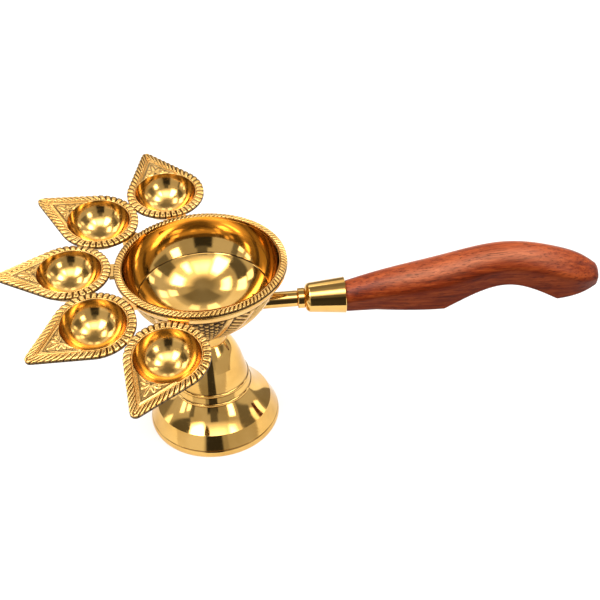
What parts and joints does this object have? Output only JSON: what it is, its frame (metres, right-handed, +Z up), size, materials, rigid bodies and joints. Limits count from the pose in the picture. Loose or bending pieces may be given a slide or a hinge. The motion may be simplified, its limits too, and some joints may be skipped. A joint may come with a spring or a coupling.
{
  "type": "aarti lamp",
  "caption": "Brass aarti lamp: a round oil bowl on a bell-shaped stand, pointed leaf wick dishes around one side and a shaped wooden handle on the other.",
  "frame": {"origin": "on the floor, under the middle of the bell stand", "axes": "+Z up along the stand's axis, +X along the handle away from the bowl, -X towards the middle leaf"},
  "size_m": [0.2998, 0.189, 0.1077],
  "materials": {
    "polished_brass": "polished",
    "cast_brass": "cast and polished, dark in the recesses",
    "rosewood": "satin lacquer"
  },
  "bodies": {
    "stand": {"bell_stand": "polished_brass"},
    "neck": {"neck_collar": "polished_brass"},
    "lamp_head": {"foot_stud": "polished_brass", "bowl": "polished_brass", "leaf_lamp_1": "cast_brass", "leaf_lamp_2": "cast_brass", "leaf_lamp_3": "cast_brass", "leaf_lamp_4": "cast_brass", "leaf_lamp_5": "cast_brass", "leaf_web_1": "cast_brass", "leaf_web_2": "cast_brass", "leaf_web_3": "cast_brass", "leaf_web_4": "cast_brass", "leaf_web_5": "cast_brass", "braze_bead_1": "cast_brass", "braze_bead_2": "cast_brass", "braze_bead_3": "cast_brass", "braze_bead_4": "cast_brass", "handle_rod": "polished_brass"},
    "collar": {"handle_collar": "polished_brass"},
    "grip": {"ferrule": "polished_brass", "grip_insert": "polished_brass", "wooden_grip": "rosewood"}
  },
  "joints": [
    {"name": "neck_rise", "type": "slide", "parent": "stand", "child": "neck", "axis": [0, 0, 1], "range_m": [0, 0.00636]},
    {"name": "bowl_unscrew", "type": "hinge", "parent": "neck", "child": "lamp_head", "pos_m": [0, 0, 0.0534], "axis": [0, 0, 1], "range_deg": [0, 1440]},
    {"name": "collar_draw", "type": "slide", "parent": "lamp_head", "child": "collar", "axis": [1, 0, 0], "range_m": [0, 0.00509]},
    {"name": "grip_unscrew", "type": "hinge", "parent": "collar", "child": "grip", "pos_m": [0.0502, 0, 0.0735], "axis": [1, 0, 0], "range_deg": [0, 1440]}
  ],
  "couplings": [
    {"joint": "neck_rise", "follows": "bowl_unscrew", "m_per_rad": 0.00025266},
    {"joint": "collar_draw", "follows": "grip_unscrew", "m_per_rad": 0.00020213}
  ]
}
